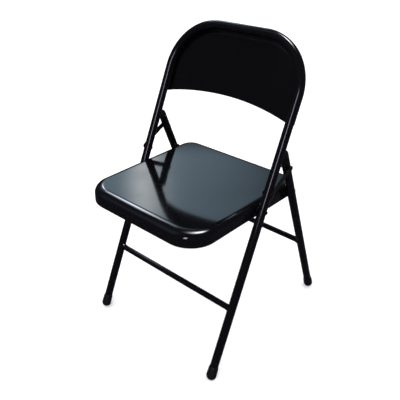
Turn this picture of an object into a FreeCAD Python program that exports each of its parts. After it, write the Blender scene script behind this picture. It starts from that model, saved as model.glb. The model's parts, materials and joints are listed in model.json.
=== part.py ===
import FreeCAD, Part
import math
import os

# All-steel folding chair, in millimetres.  Seen from the front, X points right, Y points
# to the rear and Z up.  Origin: on the floor, at the middle of the overall width and depth.

# --- overall layout -------------------------------------------------------------------
seat_front_height = 444.1    # top of the seat at its front edge
seat_pitch = 2.4             # degrees, the rear is lower
seat_overhang = 38.3         # the seat's front edge stands this far ahead of the front feet
leg_track = 421.2            # left leg centre line to right leg centre line
front_lean = 25.8            # degrees the front frame leans back from upright
rear_lean = 20.6             # degrees the rear legs lean forward from upright
crossing_above_seat = 122.6  # where the leg centre lines cross, above the seat's front edge
back_edge_past_crossing = 52.8   # backrest's lower corners, along the frame
back_height = 201.6          # backrest's lower corners to the middle of the top rail

# --- tubes ------------------------------------------------------------------------------
leg_od = 22.2
leg_wall = 1.2
brace_od = 15.9
brace_wall = 1.2
back_bend_radius = 134.0     # centre-line radius of the two bends beside the top rail
front_brace_up = 185.0       # along the front leg, from the foot centre
rear_brace_up = 214.6        # along the rear leg, from the foot centre
tube_end_up = 2.0            # the legs stop this far above the foot centres
leg_end_gap = 4.7            # the rear leg's open end clears the front tube by this much

# --- rubber foot caps and leg plugs -----------------------------------------------------
cap_foot_wall = 2.3          # rubber round the foot, beyond the tube
cap_wear = 1.9               # height worn off the round foot
cap_sleeve_up = 21.0
cap_sleeve_wall = 1.6        # rubber left at the top of the tapered sleeve
cap_collar_height = 3.5
cap_collar_wall = 0.8
cap_fit = 0.05
plug_shoulder_height = 5.5
plug_dome_ratio = 1.17       # dome height over leg radius
plug_saddle_gap = 0.4        # the open leg stops this far from the front tube
plug_stem_length = 14.0
plug_fit = 0.1

# --- backrest panel ---------------------------------------------------------------------
sheet = 1.0                  # backrest and seat lips
back_arch_rise = 29.1        # the lower edge rises this much at the middle
back_bow = 13.0              # the panel bows backwards by this much
back_lip_angle = 62.0        # degrees of tube that the wrapped edge covers
back_gap = 0.1
back_bead_radius = 2.2       # rolled lower edge

# --- seat pan ---------------------------------------------------------------------------
seat_rear_run = 58.7         # metal behind the rear pivot
seat_front_clear = 8.3       # front corner line to the inner face of the leg
seat_rear_clear = 0.9        # rear corner line to the same face
seat_skirt = 37.8
seat_sheet = 1.2
seat_front_corner = 72.0
seat_rear_corner = 37.0
seat_roll = 10.0             # radius between the top and the skirt
seat_dish = 4.0              # depth of the shallow hollow
seat_dish_radius = 165.0
seat_hem = 4.2

# --- plates riveted inside the skirts ---------------------------------------------------
plate_thick = 2.0
plate_gap = 0.1
plate_front_run = 30.0       # metal ahead of the front pivot
plate_rear_run = 20.0        # metal behind the rear pivot
plate_foot = 1.3             # from the skirt's foot up to the plate
plate_head = 6.3             # from the plate up to the top of the seat

# --- pivots -----------------------------------------------------------------------------
seat_front_pivot_drop = 30.6     # below the seat's front edge
seat_front_pivot_back = 4.0      # behind the centre line of the front leg
seat_rear_pivot_depth = 8.3      # below the plane of the seat's top
link_front_pivot_down = 121.3    # from the crossing, down the front leg
link_rear_pivot_down = 39.0      # from the open end, down the rear leg
rivet_radius = 3.5
running_fit = 0.06
tight_fit = 0.02
face_gap = 0.5
slot_half_width = 2.2        # sideways play of the front seat rivet in its slot
slot_drop = 9.7              # downward play
slot_margin = 0.4

# --- rivet heads, spacers and washers: rims are measured out from the shank -------------
head_rim = 2.1
head_height = 2.4
flush_head_rim = 0.9
flush_head_height = 0.4
tail_rim = 1.7
tail_height = 2.0
inner_head_rim = 1.0         # clears the roll of the seat
slot_head_rim = 4.5          # wide enough to keep hold of the slot's edges
inner_head_height = 2.5
inner_head_gap = 1.5
spacer_rim = 6.5
washer_rim = 2.9
washer_thick = 0.8
washer_seat = 0.05

# --- links ------------------------------------------------------------------------------
link_rim = 3.5               # strap beyond the rivet, on both sides
link_thick = 2.2
link_arch = 2.5
link_gap = 0.1

leg_r = leg_od / 2.0
brace_r = brace_od / 2.0
half_track = leg_track / 2.0
link_half_width = rivet_radius + link_rim
cap_radius = leg_r + cap_foot_wall
foot_centre_height = cap_radius - cap_wear
front_angle = math.radians(front_lean)
rear_angle = math.radians(rear_lean)
legs_angle = front_angle + rear_angle

# --- the two legs of a side cross like an X; the frame's lengths follow from that point ----
crossing_rise = seat_front_height + crossing_above_seat - foot_centre_height
foot_spread = crossing_rise * (math.tan(front_angle) + math.tan(rear_angle))
crossing_up = crossing_rise / math.cos(front_angle)
back_edge_up = crossing_up + back_edge_past_crossing
front_frame_length = back_edge_up + back_height
leg_end_short = (leg_r * (1.0 + math.cos(legs_angle)) + leg_end_gap) / math.sin(legs_angle)
rear_leg_length = crossing_rise / math.cos(rear_angle) - leg_end_short
seat_front_y = -(seat_overhang + foot_spread + cap_radius) / 2.0
front_foot_y = seat_front_y + seat_overhang
rear_foot_y = front_foot_y + foot_spread
X_AXIS = FreeCAD.Vector(1, 0, 0)
Y_AXIS = FreeCAD.Vector(0, 1, 0)
Z_AXIS = FreeCAD.Vector(0, 0, 1)
ZERO = FreeCAD.Vector(0, 0, 0)


def vec(x, y, z):
    return FreeCAD.Vector(x, y, z)


def lean(shape, degrees, foot_y):
    """Tip a shape built upright over a foot centre and set it on its foot."""
    shape.rotate(ZERO, X_AXIS, degrees)
    shape.translate(vec(0, foot_y, foot_centre_height))
    return shape


def to_front(shape):
    return lean(shape, -front_lean, front_foot_y)


def to_rear(shape):
    return lean(shape, rear_lean, rear_foot_y)


def to_seat(shape):
    """Place a shape built with the seat level, its front edge at Y = 0, skirt foot at Z = 0."""
    shape.rotate(ZERO, X_AXIS, -seat_pitch)
    shape.translate(vec(0, seat_front_y, seat_front_height - seat_skirt))
    return shape


def front_point(up, back=0.0):
    """A point of the front frame in the side view: distance up the leg, then behind it."""
    y = front_foot_y + up * math.sin(front_angle) + back * math.cos(front_angle)
    z = foot_centre_height + up * math.cos(front_angle) - back * math.sin(front_angle)
    return vec(0, y, z)


def rear_point(up):
    y = rear_foot_y - up * math.sin(rear_angle)
    z = foot_centre_height + up * math.cos(rear_angle)
    return vec(0, y, z)


def cross_rod(point, x_from, x_to, radius):
    """A round bar along X through a side-view point, between two X positions."""
    return Part.makeCylinder(radius, x_to - x_from, vec(x_from, point.y, point.z), X_AXIS)


def cross_ring(point, x_from, x_to, radius, bore):
    ring = cross_rod(point, x_from, x_to, radius)
    return ring.cut(cross_rod(point, x_from, x_to, bore))


def domed_head(point, x_base, height, radius):
    """A rivet head standing out along X: a short rim and a spherical crown."""
    rim = height * 0.35
    crown = height - rim
    ball = (radius * radius + crown * crown) / (2.0 * crown)
    cap = Part.makeSphere(ball, vec(x_base + height - ball, point.y, point.z))
    return cross_rod(point, x_base, x_base + height, radius).common(cap)


def one_solid(shape):
    solids = shape.removeSplitter().Solids
    return solids[0] if len(solids) == 1 else Part.makeCompound(solids)


def upright_tube(x, up_from, up_to, radius, wall):
    outer = Part.makeCylinder(radius, up_to - up_from, vec(x, 0, up_from))
    inner = Part.makeCylinder(radius - wall, up_to - up_from, vec(x, 0, up_from))
    return outer.cut(inner)


def ring_section(outward, back_angle_from, back_angle_to, r_in, r_out):
    """Section of a wrapped lip round a tube at the origin, lying in the XY plane."""
    a0 = math.radians(back_angle_from)
    a1 = math.radians(back_angle_to)
    am = (a0 + a1) / 2.0

    def at(radius, angle):
        return vec(outward * radius * math.sin(angle), radius * math.cos(angle), 0)

    outer = Part.Arc(at(r_out, a0), at(r_out, am), at(r_out, a1)).toShape()
    inner = Part.Arc(at(r_in, a1), at(r_in, am), at(r_in, a0)).toShape()
    end_a = Part.makeLine(at(r_out, a1), at(r_in, a1))
    end_b = Part.makeLine(at(r_in, a0), at(r_out, a0))
    return Part.Face(Part.Wire([outer, end_a, inner, end_b]))


def hoop(section, up_from):
    """Carry a section up the left leg, round the top rail and down the right leg."""
    bend_up = front_frame_length - back_bend_radius
    inner_x = half_track - back_bend_radius
    left = section.copy()
    left.translate(vec(-half_track, 0, up_from))
    left_run = left.extrude(vec(0, 0, bend_up - up_from))
    at_bend = left.copy()
    at_bend.translate(vec(0, 0, bend_up - up_from))
    left_centre = vec(-inner_x, 0, bend_up)
    left_bend = at_bend.revolve(left_centre, Y_AXIS, 90)
    at_rail = at_bend.copy()
    at_rail.rotate(left_centre, Y_AXIS, 90)
    rail = at_rail.extrude(vec(2 * inner_x, 0, 0))
    at_right = at_rail.copy()
    at_right.translate(vec(2 * inner_x, 0, 0))
    right_centre = vec(inner_x, 0, bend_up)
    right_bend = at_right.revolve(right_centre, Y_AXIS, 90)
    at_down = at_right.copy()
    at_down.rotate(right_centre, Y_AXIS, 90)
    right_run = at_down.extrude(vec(0, 0, up_from - bend_up))
    return left_run.multiFuse([left_bend, rail, right_bend, right_run])


# --- pivot points in the side view --------------------------------------------------------
seat_front_pivot_rise = seat_front_height - seat_front_pivot_drop - foot_centre_height
seat_front_pivot_tip = seat_front_pivot_back * math.sin(front_angle)
seat_front_pivot_up = (seat_front_pivot_rise + seat_front_pivot_tip) / math.cos(front_angle)
seat_slope = math.tan(math.radians(seat_pitch))
seat_fall = (rear_foot_y - seat_front_y) * seat_slope
seat_rear_pivot_drop = seat_fall + seat_rear_pivot_depth / math.cos(math.radians(seat_pitch))
seat_rear_pivot_rise = seat_front_height - seat_rear_pivot_drop - foot_centre_height
seat_rear_pivot_up = seat_rear_pivot_rise / (math.cos(rear_angle) - math.sin(rear_angle) * seat_slope)
seat_front_pivot = front_point(seat_front_pivot_up, seat_front_pivot_back)
seat_rear_pivot = rear_point(seat_rear_pivot_up)
link_front_pivot = front_point(crossing_up - link_front_pivot_down)
link_rear_pivot = rear_point(rear_leg_length - link_rear_pivot_down)

# --- positions across the chair, measured from the middle --------------------------------
leg_outer_x = half_track + leg_r
leg_inner_x = half_track - leg_r
washer_x = leg_outer_x + washer_seat
link_x = washer_x + washer_thick + link_gap
link_head_x = link_x + link_thick + link_gap

# --- the seat fits between the legs and reaches past its rear pivot ------------------------
seat_front_half = leg_inner_x - seat_front_clear
seat_rear_half = leg_inner_x - seat_rear_clear
seat_pitch_angle = math.radians(seat_pitch)
rear_pivot_run = (seat_rear_pivot.y - seat_front_y) * math.cos(seat_pitch_angle)
rear_pivot_lift = seat_rear_pivot.z - seat_front_height + seat_skirt
seat_depth = rear_pivot_run - rear_pivot_lift * math.sin(seat_pitch_angle) + seat_rear_run


def seat_half_at(y):
    """Half width of the seat at a distance Y of the chair."""
    return seat_front_half + (seat_rear_half - seat_front_half) * (y - seat_front_y) / seat_depth


# --- front frame --------------------------------------------------------------------------
def leg_hole(point):
    return cross_rod(point, -leg_outer_x - 1, leg_outer_x + 1, rivet_radius + tight_fit)


def front_frame_tube():
    """One tube: left leg, back upright, top rail, back upright and right leg."""
    circle_out = Part.Face(Part.Wire(Part.makeCircle(leg_r)))
    circle_in = Part.Face(Part.Wire(Part.makeCircle(leg_r - leg_wall)))
    tube = hoop(circle_out.cut(circle_in).Faces[0], tube_end_up)
    tube = to_front(one_solid(tube))
    return tube.cut(leg_hole(seat_front_pivot)).cut(leg_hole(link_front_pivot))


def brace(up):
    """A cross tube whose ends are coped to sit against both legs."""
    bar = Part.makeCylinder(brace_r, leg_track, vec(-half_track, 0, up), X_AXIS)
    bore = Part.makeCylinder(brace_r - brace_wall, leg_track, vec(-half_track, 0, up), X_AXIS)
    bar = bar.cut(bore)
    for x in (-half_track, half_track):
        leg = Part.makeCylinder(leg_r, 4 * brace_od, vec(x, 0, up - 2 * brace_od))
        bar = bar.cut(leg)
    return bar


def back_outline():
    """Face of the panel seen from the front: the hoop's centre line and the arched edge."""
    bend_up = front_frame_length - back_bend_radius
    inner_x = half_track - back_bend_radius
    diagonal = back_bend_radius * math.sin(math.radians(45))
    low_left = vec(-half_track, 0, back_edge_up)
    low_right = vec(half_track, 0, back_edge_up)
    left_bend = vec(-half_track, 0, bend_up)
    right_bend = vec(half_track, 0, bend_up)
    rail_left = vec(-inner_x, 0, front_frame_length)
    rail_right = vec(inner_x, 0, front_frame_length)
    mid_left = vec(-inner_x - diagonal, 0, bend_up + diagonal)
    mid_right = vec(inner_x + diagonal, 0, bend_up + diagonal)
    arch = vec(0, 0, back_edge_up + back_arch_rise)
    edges = [
        Part.makeLine(low_left, left_bend),
        Part.Arc(left_bend, mid_left, rail_left).toShape(),
        Part.makeLine(rail_left, rail_right),
        Part.Arc(rail_right, mid_right, right_bend).toShape(),
        Part.makeLine(right_bend, low_right),
        Part.Arc(low_right, arch, low_left).toShape(),
    ]
    return Part.Face(Part.Wire(edges))


def back_depth(x, up):
    """How far the sheet's front face lies behind the frame's centre plane.

    No bow at the uprights and the top rail, full bow low down in the middle."""
    across = (1.0 - (x / half_track) ** 2) ** 2
    drop = (front_frame_length - up) / (front_frame_length - back_edge_up)
    return leg_r + back_gap + back_bow * across * (1.0 - (1.0 - drop) ** 2)


def back_sheet_surface(columns=13, rows=9):
    poles = []
    for i in range(columns):
        x = -half_track * 1.1 + 2.2 * half_track * i / (columns - 1)
        row = []
        for j in range(rows):
            up = back_edge_up - 20 + (front_frame_length + 40 - back_edge_up) * j / (rows - 1)
            row.append(vec(x, back_depth(x, up), up))
        poles.append(row)
    surface = Part.BSplineSurface()
    surface.interpolate(poles)
    return surface


def back_bead(surface):
    """Rolled edge along the arched bottom of the panel."""
    points = []
    span = leg_track - leg_od * 1.6
    for i in range(17):
        x = -span / 2.0 + span * i / 16.0
        arch_radius = (half_track ** 2 + back_arch_rise ** 2) / (2 * back_arch_rise)
        up = back_edge_up + back_arch_rise - arch_radius + math.sqrt(arch_radius ** 2 - x ** 2)
        points.append(vec(x, back_depth(x, up) + back_bead_radius, up + back_bead_radius * 0.6))
    curve = Part.BSplineCurve()
    curve.interpolate(points)
    path = Part.Wire(curve.toShape())
    start = points[0]
    direction = curve.tangent(curve.FirstParameter)[0]
    ring = Part.Wire(Part.makeCircle(back_bead_radius, start, direction))
    return path.makePipeShell([ring], True, False)


def backrest_panel():
    surface = back_sheet_surface()
    slab = surface.toShape().extrude(vec(0, sheet, 0))
    prism = back_outline().extrude(vec(0, 4 * back_bow + 4 * leg_od, 0))
    panel = slab.common(prism)
    lip_in = leg_r + back_gap
    lip = hoop(ring_section(-1, 0, back_lip_angle, lip_in, lip_in + sheet), back_edge_up)
    whole = panel.fuse(lip).fuse(back_bead(surface))
    return to_front(one_solid(whole))


# --- rear legs ------------------------------------------------------------------------------
def rear_leg():
    leg = upright_tube(half_track, tube_end_up, rear_leg_length, leg_r, leg_wall)
    leg = to_rear(leg)
    return leg.cut(leg_hole(seat_rear_pivot)).cut(leg_hole(link_rear_pivot))


def rear_leg_plug():
    """Moulded plug: a stem in the bore and a domed head, saddled to rest on the front tube."""
    quarter = Part.Ellipse(vec(0, 0, plug_dome_ratio * leg_r), vec(leg_r, 0, 0), ZERO)
    arc = Part.ArcOfEllipse(quarter, -math.pi / 2.0, 0)
    curve = arc.toShape()
    ends = [v.Point for v in curve.Vertexes]
    edges = [curve, Part.makeLine(ends[0], ZERO), Part.makeLine(ZERO, ends[1])]
    face = Part.Face(Part.Wire(Part.__sortEdges__(edges)))
    dome = face.revolve(ZERO, Z_AXIS, 360)
    dome.translate(vec(0, 0, plug_shoulder_height))
    shoulder = Part.makeCylinder(leg_r, plug_shoulder_height)
    stem_radius = leg_r - leg_wall - plug_fit
    stem = Part.makeCylinder(stem_radius, plug_stem_length, vec(0, 0, -plug_stem_length))
    plug = dome.fuse(shoulder).fuse(stem)
    plug.translate(vec(half_track, 0, rear_leg_length))
    saddle = Part.makeCylinder(leg_r + plug_saddle_gap, front_frame_length, vec(half_track, 0, 0))
    return one_solid(to_rear(plug).cut(to_front(saddle)))


# --- foot caps --------------------------------------------------------------------------------
def foot_cap(place):
    """Rubber cap: round underneath, tapered sleeve, bevelled collar, worn flat on the floor."""
    top = cap_sleeve_up + cap_collar_height
    ball = Part.makeSphere(cap_radius)
    neck = leg_r + cap_sleeve_wall
    sleeve = Part.makeCone(cap_radius, neck, cap_sleeve_up)
    collar_radius = leg_r + cap_collar_wall
    collar = Part.makeCone(neck, collar_radius, cap_collar_height, vec(0, 0, cap_sleeve_up))
    cap = ball.fuse(sleeve).fuse(collar)
    cap = cap.cut(Part.makeCylinder(leg_r + cap_fit, top, vec(0, 0, tube_end_up - cap_fit)))
    cap.translate(vec(half_track, 0, 0))
    cap = place(cap)
    below = Part.makeBox(2 * leg_track, 2 * foot_spread, cap_radius)
    below.translate(vec(-leg_track, -foot_spread, -cap_radius))
    return one_solid(cap.cut(below))


# --- seat ---------------------------------------------------------------------------------------
def seat_block(inset):
    """Solid of the seat, inset evenly from its outer skin; its underside stays at Z = 0."""
    front = seat_front_half - inset
    rear = seat_rear_half - inset
    height = seat_skirt - inset
    corners = [
        vec(-front, inset, 0),
        vec(front, inset, 0),
        vec(rear, seat_depth - inset, 0),
        vec(-rear, seat_depth - inset, 0),
    ]
    block = Part.Face(Part.makePolygon(corners + [corners[0]])).extrude(vec(0, 0, height))
    uprights = [e for e in block.Edges if abs(e.BoundBox.ZLength - height) < 0.01]
    front_edges = [e for e in uprights if e.BoundBox.YMax < seat_depth / 2.0]
    block = block.makeFillet(seat_front_corner - inset, front_edges)
    uprights = [e for e in block.Edges if e.BoundBox.ZLength > height - 0.01]
    rear_edges = [e for e in uprights if e.BoundBox.YMin > seat_depth - inset - 0.01]
    block = block.makeFillet(seat_rear_corner - inset, rear_edges)
    rim = [e for e in block.Edges if e.BoundBox.ZMin > height - 0.01]
    return block.makeFillet(seat_roll - inset, rim)


def seat_hollow(inset):
    """Ball that presses the shallow hollow into the top."""
    ball = (seat_dish_radius ** 2 + seat_dish ** 2) / (2.0 * seat_dish)
    centre = vec(0, seat_depth / 2.0, seat_skirt - seat_dish + ball)
    return Part.makeSphere(ball + inset, centre)


def seat_slot():
    """Slot that lets the front rivet drop in the skirt while the seat folds."""
    half = slot_half_width + rivet_radius + slot_margin
    top = seat_front_pivot.z + rivet_radius + slot_margin
    low = seat_front_pivot.z - slot_drop - rivet_radius - slot_margin
    width = 2 * (seat_rear_half + 20)
    box = Part.makeBox(width, 2 * half, top - low, vec(-width / 2.0, seat_front_pivot.y - half, low))
    long_edges = [e for e in box.Edges if e.BoundBox.XLength > width / 2.0]
    return box.makeFillet(half * 0.8, long_edges)


def seat_holes():
    width = seat_rear_half + 20
    hole = cross_rod(seat_rear_pivot, -width, width, rivet_radius + running_fit)
    return hole.fuse(seat_slot())


def seat_pan():
    skin = seat_block(0).cut(seat_hollow(0))
    hollow = seat_block(seat_sheet).cut(seat_hollow(seat_sheet))
    pan = skin.cut(hollow)
    hem_slab = Part.makeBox(2 * leg_track, seat_depth, seat_sheet, vec(-leg_track, 0, 0))
    hem = seat_block(0).common(hem_slab).cut(seat_block(seat_hem))
    pan = to_seat(pan.fuse(hem))
    return one_solid(pan.cut(seat_holes()))


def seat_side_plate():
    """Steel strip inside the skirt that carries both rivets of its side."""
    outer = seat_sheet + plate_gap
    strip = seat_block(outer).cut(seat_block(outer + plate_thick))
    start = seat_front_pivot.y - seat_front_y - plate_front_run
    end = seat_rear_pivot.y - seat_front_y + plate_rear_run
    height = seat_skirt - plate_head - plate_foot
    window = Part.makeBox(leg_track, end - start, height, vec(0, start, plate_foot))
    return one_solid(to_seat(strip.common(window)).cut(seat_holes()))


# --- rivets -------------------------------------------------------------------------------
def link_rivet(point):
    """Rivet through a leg and a link: domed head outside the link, flat tail inside the leg."""
    tail_x = leg_inner_x - washer_seat
    shank = cross_rod(point, tail_x - tail_height, link_head_x, rivet_radius)
    head = domed_head(point, link_head_x, head_height, rivet_radius + head_rim)
    tail = cross_rod(point, tail_x - tail_height, tail_x, rivet_radius + tail_rim)
    return one_solid(shank.fuse(head).fuse(tail))


def seat_rivet(point, outer_rim, outer_height, inner_rim):
    """Rivet through a leg, a spacer and the seat skirt, closed inside the skirt."""
    skin_x = seat_half_at(point.y)
    inner_x = skin_x - seat_sheet - plate_gap - plate_thick - inner_head_gap
    head_x = leg_outer_x + washer_seat
    shank = cross_rod(point, inner_x - inner_head_height, head_x, rivet_radius)
    head = domed_head(point, head_x, outer_height, rivet_radius + outer_rim)
    inner = cross_rod(point, inner_x - inner_head_height, inner_x, rivet_radius + inner_rim)
    return one_solid(shank.fuse(head).fuse(inner))


def seat_front_rivet():
    """Runs in the skirt's slot, so its inner head is wide; its outer head is nearly flush."""
    return seat_rivet(seat_front_pivot, flush_head_rim, flush_head_height, slot_head_rim)


def seat_rear_rivet():
    return seat_rivet(seat_rear_pivot, tail_rim, tail_height, inner_head_rim)


def pivot_spacer(point):
    outer_x = leg_inner_x - washer_seat
    inner_x = seat_half_at(point.y) + face_gap
    rim = rivet_radius + spacer_rim
    return cross_ring(point, inner_x, outer_x, rim, rivet_radius + tight_fit)


def link_washer(point):
    end = washer_x + washer_thick
    rim = rivet_radius + washer_rim
    return cross_ring(point, washer_x, end, rim, rivet_radius + tight_fit)


# --- links ---------------------------------------------------------------------------------
def link():
    """Flat strap with round ends, gently arched, from the front leg to the rear leg."""
    a = link_front_pivot
    b = link_rear_pivot
    along = (b - a).normalize()
    above = vec(0, -along.z, along.y)
    middle = (a + b) * 0.5 + above * link_arch
    edges = []
    for offset in (link_half_width, -link_half_width):
        start = a + above * offset
        end = b + above * offset
        edges.append(Part.Arc(start, middle + above * offset, end).toShape())
    starts = [e.Vertexes[0].Point for e in edges]
    ends = [e.Vertexes[-1].Point for e in edges]
    band = Part.Wire(Part.__sortEdges__(edges + [Part.makeLine(*starts), Part.makeLine(*ends)]))
    strap = Part.Face(band).extrude(vec(link_thick, 0, 0))
    strap.translate(vec(link_x, 0, 0))
    outer = link_x + link_thick
    for point in (a, b):
        strap = strap.fuse(cross_rod(point, link_x, outer, link_half_width))
    for point in (a, b):
        strap = strap.cut(cross_rod(point, link_x, outer, rivet_radius + running_fit))
    return one_solid(strap)


def build():
    """Every piece by name; side pieces are made for the right and mirrored to the left."""
    parts = {
        "front_frame_tube": front_frame_tube(),
        "front_brace": to_front(brace(front_brace_up)),
        "backrest_panel": backrest_panel(),
        "seat_pan": seat_pan(),
        "rear_brace": to_rear(brace(rear_brace_up)),
    }
    side_parts = {
        "foot_cap_front": foot_cap(to_front),
        "foot_cap_rear": foot_cap(to_rear),
        "rear_leg": rear_leg(),
        "rear_leg_plug": rear_leg_plug(),
        "seat_side_plate": seat_side_plate(),
        "link": link(),
        "link_front_rivet": link_rivet(link_front_pivot),
        "link_rear_rivet": link_rivet(link_rear_pivot),
        "link_front_washer": link_washer(link_front_pivot),
        "link_rear_washer": link_washer(link_rear_pivot),
        "seat_front_rivet": seat_front_rivet(),
        "seat_rear_rivet": seat_rear_rivet(),
        "seat_front_spacer": pivot_spacer(seat_front_pivot),
        "seat_rear_spacer": pivot_spacer(seat_rear_pivot),
    }
    for name, shape in side_parts.items():
        parts[name + "_right"] = shape
        parts[name + "_left"] = shape.mirror(ZERO, X_AXIS)
    return parts


os.makedirs("parts", exist_ok=True)
for node, shape in build().items():
    shape.exportStep("parts/" + node + ".step")
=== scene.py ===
import json
import math

import bmesh
import bpy
import numpy as np
from mathutils import Matrix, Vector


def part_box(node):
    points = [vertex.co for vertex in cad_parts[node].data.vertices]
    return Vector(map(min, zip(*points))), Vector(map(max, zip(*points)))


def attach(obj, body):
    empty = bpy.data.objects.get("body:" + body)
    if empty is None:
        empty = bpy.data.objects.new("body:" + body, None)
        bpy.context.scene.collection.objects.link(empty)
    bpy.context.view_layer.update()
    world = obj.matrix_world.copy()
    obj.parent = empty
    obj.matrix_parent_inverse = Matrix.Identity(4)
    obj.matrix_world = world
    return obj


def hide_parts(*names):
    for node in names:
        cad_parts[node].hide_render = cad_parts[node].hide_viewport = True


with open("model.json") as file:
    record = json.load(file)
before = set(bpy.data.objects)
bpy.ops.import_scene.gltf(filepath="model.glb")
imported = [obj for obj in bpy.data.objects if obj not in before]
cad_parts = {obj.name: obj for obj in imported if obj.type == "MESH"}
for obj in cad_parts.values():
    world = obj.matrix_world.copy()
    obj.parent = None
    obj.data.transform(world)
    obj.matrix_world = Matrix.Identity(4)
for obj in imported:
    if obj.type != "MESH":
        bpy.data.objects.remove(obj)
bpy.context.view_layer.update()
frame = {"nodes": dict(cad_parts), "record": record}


# --- Studio ---------------------------------------------------------------------------------
# A matt pale floor and a room whose windows, wall and ceiling only show as reflections in the
# enamel. One soft lamp stands high on the left, and an upright strip in front lights the tubes.

def facing(azimuth, elevation, front=False):
    """Unit direction at an azimuth, 0 behind the chair or in front of it and 90 at its right,
    and an elevation: sine and cosine of the azimuth times the cosine of the elevation."""
    az, el = math.radians(azimuth), math.radians(elevation)
    away = -math.cos(az) if front else math.cos(az)
    return np.array([math.sin(az) * math.cos(el), away * math.cos(el), math.sin(el)])


def look_from(position, target):
    """Rotation that points an object's -Z axis from position at target, with its Y axis up."""
    backward = np.array(position) - np.array(target)
    backward = backward / np.linalg.norm(backward)
    sideways = np.cross([0.0, 0.0, 1.0], backward)
    sideways = sideways / np.linalg.norm(sideways)
    return np.column_stack([sideways, np.cross(backward, sideways), backward])


def euler_of(matrix):
    """The turn of a 3 by 3 rotation matrix as Euler angles."""
    return Matrix(matrix.tolist()).to_euler()


camera_place = (0.801354, -0.915090, 1.096775)
camera_azimuth, camera_elevation, camera_roll = 41.8, 29.1, -1.0
camera = bpy.data.objects.new("camera", bpy.data.cameras.new("camera"))
camera.data.sensor_width = 36.0
camera.data.lens = 45.896
camera.data.shift_x = -0.002
camera.data.shift_y = -0.0525
level = look_from(facing(camera_azimuth, camera_elevation, front=True), (0.0, 0.0, 0.0))
roll = math.radians(camera_roll)
rolled = np.column_stack([level[:, 0] * math.cos(roll) + level[:, 1] * math.sin(roll),
                          level[:, 1] * math.cos(roll) - level[:, 0] * math.sin(roll),
                          level[:, 2]])
camera.location = camera_place
camera.rotation_euler = euler_of(rolled)
bpy.context.scene.collection.objects.link(camera)
bpy.context.scene.camera = camera


def linear(code):
    """An sRGB hex colour such as "0b0b0d" as linear red, green, blue and alpha 1."""
    c = np.array([int(code[i:i + 2], 16) for i in (0, 2, 4)]) / 255.0
    c = np.where(c <= 0.04045, c / 12.92, ((c + 0.055) / 1.055) ** 2.4)
    return (*c.tolist(), 1.0)


def add(tree, kind, links=(), **settings):
    """Adds one node. settings are its attributes or the values of its inputs, and links are
    (output socket, input name or number) pairs."""
    made = tree.nodes.new(kind)
    for key, value in settings.items():
        name = key.replace("_", " ")
        if hasattr(made, key):
            setattr(made, key, value)
        else:
            made.inputs[int(key[1:]) if key[1:].isdigit() else name].default_value = value
    for source, target in links:
        tree.links.new(source, made.inputs[target])
    return made


floor_mesh = bpy.data.meshes.new("floor")
floor_half = 30.0
floor_mesh.from_pydata([(-floor_half, -floor_half, 0.0), (floor_half, -floor_half, 0.0),
                        (floor_half, floor_half, 0.0), (-floor_half, floor_half, 0.0)],
                       [], [(0, 1, 2, 3)])
floor = bpy.data.objects.new("floor", floor_mesh)
bpy.context.scene.collection.objects.link(floor)
floor.visible_glossy = False        # the room's own lower half is what the enamel mirrors
floor_paint = bpy.data.materials.new("matt_white_floor_paint")
floor_paint.use_nodes = True
tree = floor_paint.node_tree
tree.nodes["Principled BSDF"].inputs["Base Color"].default_value = linear("f7f7f7")
tree.nodes["Principled BSDF"].inputs["Roughness"].default_value = 0.9
tree.nodes["Principled BSDF"].inputs["Specular IOR Level"].default_value = 0.0
floor_mesh.materials.append(floor_paint)

room = bpy.data.worlds.new("studio_room")
room.use_nodes = True
bpy.context.scene.world = room
tree = room.node_tree
tree.nodes.clear()
direction = add(tree, "ShaderNodeTexCoord").outputs["Generated"]


def patch(azimuth, elevation, spread, colour, strength):
    """A soft round patch of light in the room: colour times strength times the cosine between
    the direction and the patch's centre, raised so that it halves at the spread in degrees."""
    centre = facing(azimuth, elevation).tolist()
    power = math.log(0.5) / math.log(math.cos(math.radians(spread)))
    dot = add(tree, "ShaderNodeVectorMath", [(direction, 0)], operation="DOT_PRODUCT", _1=centre)
    kept = add(tree, "ShaderNodeMath", [(dot.outputs["Value"], 0)], operation="MAXIMUM", _1=0.0)
    shape = add(tree, "ShaderNodeMath", [(kept.outputs[0], 0)], operation="POWER", _1=power)
    tint = [strength * c for c in linear(colour)[:3]]
    return add(tree, "ShaderNodeVectorMath", [(shape.outputs[0], 0)], operation="MULTIPLY", _1=tint)


def together(first, second):
    """The sum of two colours in the room."""
    return add(tree, "ShaderNodeVectorMath", [(first.outputs[0], 0), (second.outputs[0], 1)],
               operation="ADD")


wall_fade = (0.325, 0.44)
gloss_floor_level = (0.03, 0.029, 0.038)
even_light = 1.5
upward = add(tree, "ShaderNodeSeparateXYZ", [(direction, "Vector")])
above = add(tree, "ShaderNodeMapRange", [(upward.outputs["Z"], "Value")],
            From_Min=wall_fade[0], From_Max=wall_fade[1], interpolation_type="SMOOTHSTEP")
wall = patch(-48, 28, 12.0, "c8e9ff", 1.6)
lit_wall = add(tree, "ShaderNodeVectorMath", [(wall.outputs[0], 0), (above.outputs[0], 1)],
               operation="MULTIPLY")
spill = patch(-46, 26.2, 1.6, "fffaf4", 3.0)
upright_window = together(patch(-58, 28, 1.8, "e6f0ff", 14.0),
                          patch(-57, 38, 2.8, "e6f0ff", 18.0))
ceiling_and_ground = together(patch(-14, 73, 7.0, "f8fbff", 40.0),
                              patch(-20, -38, 25.0, "ffffff", 0.22))
left_side = together(together(lit_wall, spill), upright_window)
front_left = patch(-125, 50, 14.0, "d9e6ff", 0.3)
whole = together(together(left_side, front_left), ceiling_and_ground)
dim = add(tree, "ShaderNodeVectorMath", [(whole.outputs[0], 0)], operation="ADD",
          _1=gloss_floor_level)
seen_in_gloss = add(tree, "ShaderNodeBackground", [(dim.outputs[0], "Color")], Strength=1.0)
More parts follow.
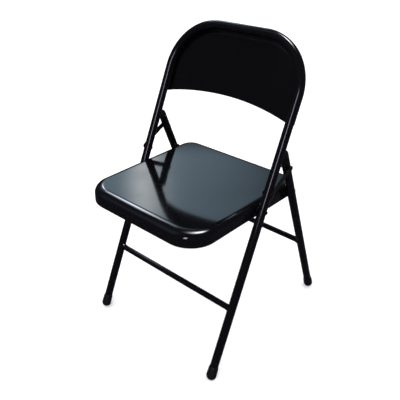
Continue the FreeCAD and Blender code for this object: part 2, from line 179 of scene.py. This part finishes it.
seen_plainly = add(tree, "ShaderNodeBackground", Color=(1.0, 1.0, 1.0, 1.0),
                   Strength=even_light)
path_kind = add(tree, "ShaderNodeLightPath")
both = add(tree, "ShaderNodeMixShader", [(path_kind.outputs["Is Glossy Ray"], 0),
                                         (seen_plainly.outputs[0], 1),
                                         (seen_in_gloss.outputs[0], 2)])
add(tree, "ShaderNodeOutputWorld", [(both.outputs[0], "Surface")])


def soft_lamp(name, azimuth, elevation, distance, width, height, colour, radiance, target):
    """A rectangular lamp that faces the target; azimuth 0 is behind the chair, 90 is its right."""
    position = np.array(target) + distance * facing(azimuth, elevation)
    lamp = bpy.data.lights.new(name, "AREA")
    lamp.shape = "RECTANGLE"
    lamp.size = width
    lamp.size_y = height
    lamp.color = linear(colour)[:3]
    lamp.energy = radiance * math.pi * width * height
    holder = bpy.data.objects.new(name, lamp)
    holder.location = position
    holder.rotation_euler = euler_of(look_from(position, target))
    bpy.context.scene.collection.objects.link(holder)


soft_lamp("high_left_lamp", -66, 44, 2.6, 0.40, 0.30, "f4f8ff", 4.0, (0.0, -0.1, 0.43))
soft_lamp("front_strip_lamp", 158, 25, 2.55, 0.42, 1.1, "f0e0ff", 11.0, (0.0, 0.0, 0.45))

bpy.context.scene.view_settings.view_transform = "Standard"


# --- Front frame tube -----------------------------------------------------------------------
# One 22.2 mm steel tube bent into a hoop: both front legs, both back uprights and the top rail.
# Cold bent, dipped in gloss black enamel and baked, so it has a wet, faintly rippled skin.

mm = 0.001
feet = {m["name"]: m["pos_m"] for m in frame["record"]["mounts"]}
foot_lift = 11.5 * mm
half_track = 210.6 * mm
tube_radius = 11.1 * mm
tube_foot = 2.0 * mm
hoop_height = 871.1 * mm
hoop_bend = 134.0 * mm
front_lean = 25.8


class Leaning:
    """A flat frame standing on two foot centres and leaning by an angle: place(x, up, back)
    gives points x across, up along the frame's plane and back behind it."""

    def __init__(self, foot_y, degrees):
        a = math.radians(degrees)
        self.foot = np.array([0.0, foot_y, foot_lift])
        self.across = np.array([1.0, 0.0, 0.0])
        self.up = np.array([0.0, math.sin(a), math.cos(a)])
        self.back = np.array([0.0, math.cos(a), -math.sin(a)])

    def place(self, x, up, back=0.0):
        x, up, back = np.broadcast_arrays(x, up, back)
        return (self.foot + x[..., None] * self.across + up[..., None] * self.up
                + back[..., None] * self.back)


front = Leaning(feet["foot_front_left"][1], front_lean)


def skin(name, points, body, material, replaced=(), around=False, sharp=50.0):
    """Makes a piece from a grid of points, rows by columns by 3: neighbouring points become
    four-sided faces, around joins the last column to the first, coincident points are merged
    so that seams and poles close, and every face is turned outwards."""
    rows, columns = points.shape[:2]
    index = np.arange(rows * columns).reshape(rows, columns)
    if around:
        index = np.concatenate([index, index[:, :1]], axis=1)
    faces = np.stack([index[:-1, :-1], index[:-1, 1:], index[1:, 1:], index[1:, :-1]], -1)
    mesh = bpy.data.meshes.new(name)
    mesh.from_pydata(points.reshape(-1, 3).tolist(), [], faces.reshape(-1, 4).tolist())
    work = bmesh.new()
    work.from_mesh(mesh)
    bmesh.ops.remove_doubles(work, verts=work.verts, dist=2e-6)
    bmesh.ops.dissolve_degenerate(work, dist=1e-7, edges=work.edges)
    bmesh.ops.recalc_face_normals(work, faces=work.faces)
    work.to_mesh(mesh)
    work.free()
    piece = bpy.data.objects.new(name, mesh)
    bpy.context.scene.collection.objects.link(piece)
    mesh.shade_smooth()
    mesh.set_sharp_from_angle(angle=math.radians(sharp))
    mesh.materials.append(material)
    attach(piece, body)
    if replaced:
        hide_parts(*replaced)
    return piece


def carried_circle(path, radii, normal, count=64):
    """A circle carried along a flat path: each path point plus radius times the cosine of the
    angle along the path's plane normal and the sine along the in-plane side direction."""
    tangent = np.gradient(path, axis=0)
    tangent = tangent / np.linalg.norm(tangent, axis=1, keepdims=True)
    side = np.cross(tangent, normal)
    angle = np.linspace(0.0, 2.0 * math.pi, count, endpoint=False)
    ring = (np.cos(angle)[None, :, None] * normal
            + np.sin(angle)[None, :, None] * side[:, None, :])
    return path[:, None, :] + radii[:, None, None] * ring


def stove_enamel(name, colour, roughness, ripple):
    """Stove enamel on steel: black pigment under a clear gloss skin, IOR 1.5. Ripple is the
    height of the orange peel in mm, drawn with cells of about 3 mm because the real 1 mm ones
    are too fine to show. Wear shows as slightly duller, greyer patches. Scales are cells per
    metre: peel 3 mm, sag in the coat 26 mm, wear 70 mm and dust specks 2.4 mm."""
    made = bpy.data.materials.new(name)
    made.use_nodes = True
    tree = made.node_tree
    shader = tree.nodes["Principled BSDF"]
    shader.inputs["IOR"].default_value = 1.5
    shader.inputs["Metallic"].default_value = 0.0
    where = add(tree, "ShaderNodeTexCoord").outputs["Object"]
    peel = add(tree, "ShaderNodeTexNoise", [(where, "Vector")], Scale=330.0, Detail=2.0)
    sag = add(tree, "ShaderNodeTexNoise", [(where, "Vector")], Scale=38.0, Detail=1.0)
    wear = add(tree, "ShaderNodeTexNoise", [(where, "Vector")], Scale=14.0, Detail=5.0,
               Roughness=0.62)
    specks = add(tree, "ShaderNodeTexVoronoi", [(where, "Vector")], Scale=420.0,
                 feature="F1")
    dust = add(tree, "ShaderNodeMapRange", [(specks.outputs["Distance"], "Value")],
               From_Min=0.05, From_Max=0.16, To_Min=1.0, To_Max=0.0)
    patches = add(tree, "ShaderNodeMapRange", [(wear.outputs["Fac"], "Value")],
                  From_Min=0.45, From_Max=0.78, To_Min=0.0, To_Max=1.0)
    grime = add(tree, "ShaderNodeMath", [(dust.outputs[0], 0), (patches.outputs[0], 1)],
                operation="MULTIPLY")
    tint = add(tree, "ShaderNodeMix", [(grime.outputs[0], 0)], data_type="RGBA")
    tint.inputs[6].default_value = linear(colour)
    tint.inputs[7].default_value = linear("0d0e10")
    tree.links.new(tint.outputs[2], shader.inputs["Base Color"])
    dull = add(tree, "ShaderNodeMapRange", [(wear.outputs["Fac"], "Value")],
               From_Min=0.3, From_Max=0.8, To_Min=roughness, To_Max=roughness * 1.55)
    tree.links.new(dull.outputs[0], shader.inputs["Roughness"])
    fine = add(tree, "ShaderNodeBump", [(peel.outputs["Fac"], "Height")],
               Strength=1.0, Distance=ripple * mm)
    broad = add(tree, "ShaderNodeBump", [(sag.outputs["Fac"], "Height"),
                                         (fine.outputs[0], "Normal")],
                Strength=1.0, Distance=ripple * 4.0 * mm)
    tree.links.new(broad.outputs[0], shader.inputs["Normal"])
    return made


tube_enamel = stove_enamel("gloss_black_stove_enamel_on_tube", "050507", 0.12, 0.003)


def hoop_line(count_leg, count_bend, count_rail, low):
    """The hoop's centre line in its own plane, as x and up, with the outward direction at each
    point: up the left leg, a quarter circle, the top rail, a quarter circle, down the right."""
    flat = half_track - hoop_bend
    top = hoop_height - hoop_bend
    leg = np.linspace(low, top, count_leg, endpoint=False)
    turn = np.linspace(0.0, math.pi / 2.0, count_bend, endpoint=False)
    rail = np.linspace(-flat, flat, count_rail, endpoint=False)
    x = np.concatenate([np.full(count_leg, -half_track), -flat - hoop_bend * np.cos(turn),
                        rail, flat + hoop_bend * np.sin(turn), np.full(count_leg, half_track)])
    up = np.concatenate([leg, top + hoop_bend * np.sin(turn), np.full(count_rail, hoop_height),
                         top + hoop_bend * np.cos(turn), top - (leg - low)])
    zero, one = np.zeros(count_leg), np.ones(count_leg)
    out_x = np.concatenate([-one, -np.cos(turn), np.zeros(count_rail), np.sin(turn), one])
    out_up = np.concatenate([zero, np.sin(turn), np.ones(count_rail), np.cos(turn), zero])
    return x, up, out_x, out_up


def closed_tube(path, radius, normal, count=64):
    """A tube with flat closed ends: its first and last ring shrink to the centre line."""
    path = np.concatenate([path[:1], path, path[-1:]])
    radii = np.full(len(path), radius)
    radii[[0, -1]] = 0.0
    points = carried_circle(path[1:-1], radii[1:-1], normal, count)
    ends = [np.repeat(path[i][None, None, :], count, axis=1) for i in (0, -1)]
    return np.concatenate([ends[0], points, ends[1]])


hoop_x, hoop_up, _, _ = hoop_line(60, 40, 12, tube_foot)
skin("front_hoop", closed_tube(front.place(hoop_x, hoop_up), tube_radius, front.back),
     "front_frame", tube_enamel, ["front_frame_tube"], around=True)


# --- Backrest panel -------------------------------------------------------------------------
# One 1 mm steel sheet, pressed into a shallow bow with a raised border, its edge wrapped round
# the back of the hoop and its lower edge arched and rolled to a safe bead. Enamelled with it.

# The panel carries the hoop's enamel with a darker base colour, 030304 against the tube's 050507.
# This is painted shade that makes the flat face read darker than the tubes.
sheet_enamel_painted_darker = stove_enamel("gloss_black_stove_enamel_on_sheet_painted_darker", "030304", 0.13, 0.0015)
panel_low = 669.5 * mm
panel_arch = 29.1 * mm
panel_bow = 13.0 * mm
panel_sheet = 1.0 * mm
panel_gap = 0.1 * mm
panel_wrap = math.radians(62.0)
panel_bead = 2.4 * mm
border_inset = 15.0 * mm
border_step = 1.4 * mm
border_width = 5.5 * mm


def panel_depth(x, up):
    """Depth of the sheet's face behind the hoop's plane: the tube's radius, plus a bow that is
    the square of one minus the squared side ratio, times one minus the squared height ratio,
    less a smooth step inside a border line that follows the hoop, where the field stands proud."""
    flat = half_track - hoop_bend
    top = hoop_height - hoop_bend
    ratio = np.clip((hoop_height - up) / (hoop_height - panel_low), 0.0, 1.1)
    bow = (1.0 - np.clip(x / half_track, -1, 1) ** 2) ** 2 * (1.0 - (1.0 - ratio) ** 2)
    inside = hoop_bend - np.hypot(np.maximum(np.abs(x) - flat, 0.0), np.maximum(up - top, 0.0))
    t = np.clip((inside - border_inset) / border_width, 0.0, 1.0)
    return tube_radius + panel_gap + panel_bow * bow - border_step * t * t * (3.0 - 2.0 * t)


def panel_surface():
    """For each point along the hoop, from the left corner round to the right: the wrapped lip
    as an arc about the tube, then a straight line across to the matching point of the arched
    lower edge, lifted to the panel's depth, then the bead as most of a circle."""
    x, up, out_x, out_up = hoop_line(46, 44, 30, panel_low)
    t = np.linspace(0.0, 1.0, len(x))
    arch_radius = (half_track ** 2 + panel_arch ** 2) / (2.0 * panel_arch)
    edge_x = -half_track * np.cos(math.pi * (0.5 * t + 0.5 * (3 * t ** 2 - 2 * t ** 3)))
    arch_centre = panel_low + panel_arch - arch_radius
    edge_up = arch_centre + np.sqrt(arch_radius ** 2 - edge_x ** 2)
    wrap = np.linspace(panel_wrap, 0.0, 12, endpoint=False)
    reach = (tube_radius + panel_gap) * np.sin(wrap)
    lip = front.place(x[:, None] + out_x[:, None] * reach, up[:, None] + out_up[:, None] * reach,
                      (tube_radius + panel_gap) * np.cos(wrap))
    w = np.linspace(0.0, 1.0, 72)
    face_x = x[:, None] + (edge_x - x)[:, None] * w
    face_up = up[:, None] + (edge_up - up)[:, None] * w
    face = front.place(face_x, face_up, panel_depth(face_x, face_up))
    curl = np.linspace(0.0, math.radians(290.0), 16)[1:]
    down_x = -edge_x / arch_radius
    down_up = (arch_centre - edge_up) / arch_radius
    shrink = np.minimum(1.0, np.minimum(t, 1.0 - t) * 40.0)
    size = panel_bead * shrink[:, None]
    bead = front.place(edge_x[:, None] + down_x[:, None] * size * np.sin(curl),
                       edge_up[:, None] + down_up[:, None] * size * np.sin(curl),
                       panel_depth(edge_x, edge_up)[:, None] + size * (1.0 - np.cos(curl)))
    return np.concatenate([lip, face, bead], axis=1)


def thicken(piece, thickness, inwards):
    """Gives a sheet piece its thickness, on the side away from its outer face or towards it."""
    wall = piece.modifiers.new("sheet_thickness", "SOLIDIFY")
    wall.thickness = thickness
    wall.offset = -1.0 if inwards else 1.0
    wall.use_even_offset = False


panel = skin("back_panel", panel_surface(), "front_frame", sheet_enamel_painted_darker,
             ["backrest_panel"])


def faces_towards(piece, direction):
    """Turns a sheet over if most of its area faces away from the direction."""
    normals = np.zeros(len(piece.data.polygons) * 3)
    areas = np.zeros(len(piece.data.polygons))
    piece.data.polygons.foreach_get("normal", normals)
    piece.data.polygons.foreach_get("area", areas)
    if (normals.reshape(-1, 3) @ np.array(direction) * areas).sum() < 0.0:
        piece.data.flip_normals()


faces_towards(panel, -front.back)
thicken(panel, panel_sheet, True)


# --- Cross tubes ----------------------------------------------------------------------------
# Two 15.9 mm steel tubes, one between the front legs and one between the rear legs. Their ends
# are coped to the legs and welded all round, which leaves a small smooth fillet.

brace_radius = 7.95 * mm
front_brace_up, rear_brace_up = 185.0 * mm, 214.6 * mm
weld_reach = 4.0 * mm
weld_height = 1.8 * mm
weld_bite = 0.05 * mm
rear_lean = -20.6
rear = Leaning(feet["foot_rear_left"][1], rear_lean)


def cross_tube(frame_plane, up):
    """A circle carried along X between the legs. Each end point moves along X until it meets
    the leg's surface, and the radius swells near the ends by a falling square for the weld."""
    angle = np.linspace(0.0, 2.0 * math.pi, 48, endpoint=False)
    t = np.linspace(-1.0, 1.0, 121)
    t = np.sign(t) * (1.0 - (1.0 - np.abs(t)) ** 1.6)
    near = (1.0 - np.abs(t)) * half_track - tube_radius
    swell = np.clip(1.0 - near / weld_reach, 0.0, 1.0) ** 2 * weld_height
    radius = brace_radius + swell[:, None]
    behind = radius * np.cos(angle)
    along = radius * np.sin(angle)
    reach = half_track - np.sqrt(np.maximum(tube_radius ** 2 - behind ** 2, 0.0)) + weld_bite
    x = np.clip(t[:, None] * half_track, -reach, reach)
    return frame_plane.place(x, up + along, behind)


skin("front_cross_tube", cross_tube(front, front_brace_up), "front_frame",
     tube_enamel, ["front_brace"], around=True)
skin("rear_cross_tube", cross_tube(rear, rear_brace_up), "rear_legs",
     tube_enamel, ["rear_brace"], around=True)


# --- Rear legs and their top plugs ----------------------------------------------------------
# Straight 22.2 mm tubes, enamelled. A moulded black polyethylene plug closes each top end; its
# domed head is saddled to rest against the front tube. Moulded, so it is satin, not glossy.

rear_leg_top = 560.7 * mm

for side, name in ((-1.0, "left"), (1.0, "right")):
    leg_up = np.linspace(tube_foot, rear_leg_top, 80)
    leg_path = rear.place(np.full(80, side * half_track), leg_up)
    skin("rear_tube_" + name, closed_tube(leg_path, tube_radius, rear.back), "rear_legs",
         tube_enamel, ["rear_leg_" + name], around=True)


def moulded(name, colour, roughness, grain, height):
    """Moulded rubber or plastic: an even dark body with a fine spark-eroded grain whose cells
    are grain mm across, and slightly polished high spots from handling."""
    made = bpy.data.materials.new(name)
    made.use_nodes = True
    tree = made.node_tree
    shader = tree.nodes["Principled BSDF"]
    shader.inputs["IOR"].default_value = 1.5
    shader.inputs["Specular IOR Level"].default_value = 0.3
    where = add(tree, "ShaderNodeTexCoord").outputs["Object"]
    cells = add(tree, "ShaderNodeTexNoise", [(where, "Vector")], Scale=1000.0 / grain / 2.0,
                Detail=3.0)
    rubbed = add(tree, "ShaderNodeTexNoise", [(where, "Vector")], Scale=90.0, Detail=4.0)
    tint = add(tree, "ShaderNodeMix", [(rubbed.outputs["Fac"], 0)], data_type="RGBA")
    tint.inputs[6].default_value = linear(colour[0])
    tint.inputs[7].default_value = linear(colour[1])
    tree.links.new(tint.outputs[2], shader.inputs["Base Color"])
    sheen = add(tree, "ShaderNodeMapRange", [(rubbed.outputs["Fac"], "Value")],
                From_Min=0.3, From_Max=0.7, To_Min=roughness * 0.85, To_Max=roughness * 1.2)
    tree.links.new(sheen.outputs[0], shader.inputs["Roughness"])
    bump = add(tree, "ShaderNodeBump", [(cells.outputs["Fac"], "Height")],
               Strength=1.0, Distance=height * mm)
    tree.links.new(bump.outputs[0], shader.inputs["Normal"])
    return made


plug_plastic = moulded("satin_black_polyethylene", ("050506", "0b0b0e"), 0.42, 0.8, 0.03)
cap_rubber = moulded("satin_black_moulded_rubber", ("040405", "09090a"), 0.5, 0.9, 0.05)
for name in ("left", "right"):
    frame["nodes"]["rear_leg_plug_" + name].data.materials.clear()
    frame["nodes"]["rear_leg_plug_" + name].data.materials.append(plug_plastic)


# --- Foot caps ------------------------------------------------------------------------------
# Black rubber caps pushed over the leg ends: a rounded foot worn flat where it stands, a
# tapering sleeve with a thin moulded rib, and a rounded collar at the mouth.

cap_radius = 13.4 * mm
cap_top = 24.5 * mm
cap_taper = 0.9 * mm
cap_rib_up, cap_rib_height, cap_rib_width = 16.5 * mm, 0.35 * mm, 0.9 * mm
cap_mouth_up, cap_mouth_turn, cap_lip = 20.0 * mm, 1.15 * mm, 0.2 * mm
cap_fit, cap_inner_mouth = 0.02 * mm, 1.0 * mm


def cap_surface(frame_plane, side):
    """A profile turned about the leg: a circle's lower half, a sleeve whose radius falls evenly
    to the collar, a rib as a narrow bell curve, and a rounded mouth that turns in to the tube.
    Points below the floor are lifted to it, which makes the worn flat."""
    turn = np.linspace(-math.pi / 2.0, 0.0, 20)
    low_r, low_up = cap_radius * np.cos(turn), cap_radius * np.sin(turn)
    up = np.linspace(0.0, cap_top, 40)[1:]
    sleeve = cap_radius - cap_taper * up / cap_top
    sleeve = sleeve + cap_rib_height * np.exp(-((up - cap_rib_up) / cap_rib_width) ** 2)
    mouth_part = np.clip((up - cap_mouth_up) / (cap_top - cap_mouth_up), 0.0, 1.0)
    sleeve = sleeve - cap_mouth_turn * mouth_part ** 2
    profile_r = np.concatenate([low_r, sleeve, [tube_radius + cap_fit]])
    profile_up = np.concatenate([low_up, up, [cap_top - cap_lip]])
    angle = np.linspace(0.0, 2.0 * math.pi, 56, endpoint=False)
    points = frame_plane.place(side * half_track + profile_r[:, None] * np.cos(angle),
                               profile_up[:, None], profile_r[:, None] * np.sin(angle))
    mouth = frame_plane.place(np.full((1, 56), side * half_track),
                              np.full((1, 56), cap_top - cap_inner_mouth))
    points = np.concatenate([points, mouth])
    points[..., 2] = np.maximum(points[..., 2], 0.0)
    return points


for leaning, body, place_name in ((front, "front_frame", "front"), (rear, "rear_legs", "rear")):
    for side, name in ((-1.0, "left"), (1.0, "right")):
        skin(f"rubber_foot_{place_name}_{name}", cap_surface(leaning, side), body,
             cap_rubber, [f"foot_cap_{place_name}_{name}"], around=True)


# --- Seat pan -------------------------------------------------------------------------------
# One deep-drawn 1.2 mm sheet: a shallow hollow, a narrow level rim, a roll that is wide in
# front and tight at the sides, a skirt, and a hem turned in. Enamelled; the top is polished by
# use, so it mirrors the room.

seat_enamel = stove_enamel("gloss_black_stove_enamel_on_seat", "060608", 0.075, 0.0018)
seat_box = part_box("seat_pan")
seat_front_y = seat_box[0][1]
seat_front_top = 444.1 * mm
seat_pitch = math.radians(2.4)
seat_depth = 419.4 * mm
seat_skirt = 37.8 * mm
seat_half = (191.2 * mm, 198.6 * mm)
seat_corner = (72.0 * mm, 37.0 * mm)
seat_roll_reach = (28.0 * mm, 15.0 * mm)
seat_roll_drop = (17.0 * mm, 9.5 * mm)
seat_rim = 15.0 * mm
seat_hollow = 3.6 * mm
seat_sheet = 1.2 * mm
seat_hem = 4.2 * mm
seat_hem_turn = 1.6 * mm
seat_roll_edge = 0.5 * mm


def seat_outline(per_corner, per_side):
    """The skirt's outline seen from above, as points and outward directions: a four-sided
    figure, wider at the rear, each corner an arc that meets both sides smoothly."""
    corner = np.array([[-seat_half[0], 0.0], [seat_half[0], 0.0],
                       [seat_half[1], seat_depth], [-seat_half[1], seat_depth]])
    radius = np.array([seat_corner[0], seat_corner[0], seat_corner[1], seat_corner[1]])
    to_last = np.roll(corner, 1, axis=0) - corner
    to_next = np.roll(corner, -1, axis=0) - corner
    to_last = to_last / np.linalg.norm(to_last, axis=1, keepdims=True)
    to_next = to_next / np.linalg.norm(to_next, axis=1, keepdims=True)
    half_angle = np.arccos((to_last * to_next).sum(1)) / 2.0
    middle = (to_last + to_next) / np.linalg.norm(to_last + to_next, axis=1, keepdims=True)
    centre = corner + middle * (radius / np.sin(half_angle))[:, None]
    start = np.arctan2(-middle[:, 1], -middle[:, 0])
    sweep = math.pi - 2.0 * half_angle
    t = np.linspace(-0.5, 0.5, per_corner)
    angle = start[:, None] + sweep[:, None] * t
    out = np.stack([np.cos(angle), np.sin(angle)], -1)
    arcs = centre[:, None, :] + radius[:, None, None] * out
    s = np.linspace(0.0, 1.0, per_side + 2)[1:-1][None, :, None]
    side_points = arcs[:, -1:, :] * (1.0 - s) + np.roll(arcs, -1, axis=0)[:, :1, :] * s
    side_out = np.repeat(out[:, -1:, :], per_side, axis=1)
    points = np.concatenate([arcs, side_points], axis=1).reshape(-1, 2)
    outward = np.concatenate([out, side_out], axis=1).reshape(-1, 2)
    return points, outward


def seat_place(x, y, z):
    """Seat points, level with the front edge at y = 0 and the skirt's foot at z = 0, pitched
    about the front foot and set in the chair."""
    y2 = y * math.cos(seat_pitch) + z * math.sin(seat_pitch)
    z2 = z * math.cos(seat_pitch) - y * math.sin(seat_pitch)
    return np.stack([x, y2 + seat_front_y, z2 + seat_front_top - seat_skirt], -1)


def seat_surface():
    """Rings from the middle of the top out to the hem. The top rings shrink the rim's inner
    line towards the middle; the hollow's depth is the product of one minus the squared side
    ratio and one minus the squared length ratio, each raised to 1.25. The roll is a quarter
    ellipse whose reach and fall grow where the outline faces forward."""
    line, out = seat_outline(30, 40)
    forward = np.where(line[:, 1] < seat_depth / 2.0, np.clip(-out[:, 1], 0.0, 1.0), 0.0)
    ease = forward ** 2 * (3.0 - 2.0 * forward)
    reach = seat_roll_reach[1] + (seat_roll_reach[0] - seat_roll_reach[1]) * ease
    fall = seat_roll_drop[1] + (seat_roll_drop[0] - seat_roll_drop[1]) * ease
    inner = line - out * (reach + seat_roll_edge)[:, None]
    middle = np.array([0.0, seat_depth * 0.5])
    ring = np.sin(np.linspace(0.0, math.pi / 2.0, 70))
    top = middle + ring[:, None, None] * (inner - middle)
    half = seat_half[0] + (seat_half[1] - seat_half[0]) * top[..., 1] / seat_depth - seat_rim
    across = np.clip(top[..., 0] / half, -1.0, 1.0)
    length = np.clip((top[..., 1] - middle[1]) / (middle[1] - seat_rim), -1.0, 1.0)
    hollow = seat_hollow * ((1.0 - across ** 2) * (1.0 - length ** 2)) ** 1.25
    rows = [seat_place(top[..., 0], top[..., 1], seat_skirt - hollow)]
    turn = np.linspace(0.0, math.pi / 2.0, 14)[:, None]
    rolled_in = reach * (1.0 - np.sin(turn))
    rolled_z = seat_skirt - fall * (1.0 - np.cos(turn))
    rolled = line - out * rolled_in[..., None]
    rows.append(seat_place(rolled[..., 0], rolled[..., 1], rolled_z))
    drop = np.linspace(0.0, 1.0, 9)[1:, None]
    skirt_top = seat_skirt - fall
    skirt_z = skirt_top * (1.0 - drop) + seat_hem_turn * drop
    rows.append(seat_place(*np.broadcast_arrays(line[:, 0], line[:, 1], skirt_z)))
    bend = np.linspace(0.0, math.pi / 2.0, 6)[1:, None]
    hemmed = line - out * (seat_hem_turn * (1.0 - np.cos(bend)))[..., None]
    hem_z = np.broadcast_to(seat_hem_turn * (1.0 - np.sin(bend)), hemmed.shape[:2])
    rows.append(seat_place(hemmed[..., 0], hemmed[..., 1], hem_z))
    lip = (line - out * seat_hem)[None]
    rows.append(seat_place(lip[..., 0], lip[..., 1], np.zeros(lip.shape[:2])))
    return np.concatenate(rows)


seat = skin("pressed_seat", seat_surface(), "seat", seat_enamel,
            ["seat_pan"], around=True)
faces_towards(seat, (0.0, 0.0, 1.0))
thicken(seat, seat_sheet, True)


# --- Side plates, links, rivets, spacers and washers ------------------------------------------
# Steel strips inside the skirt, flat steel links outside the legs, and set steel rivets with
# their spacers and washers. All are dipped in the same enamel, a little thicker and duller.

hardware_enamel = stove_enamel("black_stove_enamel_on_hardware", "070708", 0.2, 0.005)
for node_name, fitting in frame["nodes"].items():
    if not fitting.hide_render and not node_name.startswith("rear_leg_plug"):
        fitting.data.materials.clear()
        fitting.data.materials.append(hardware_enamel)
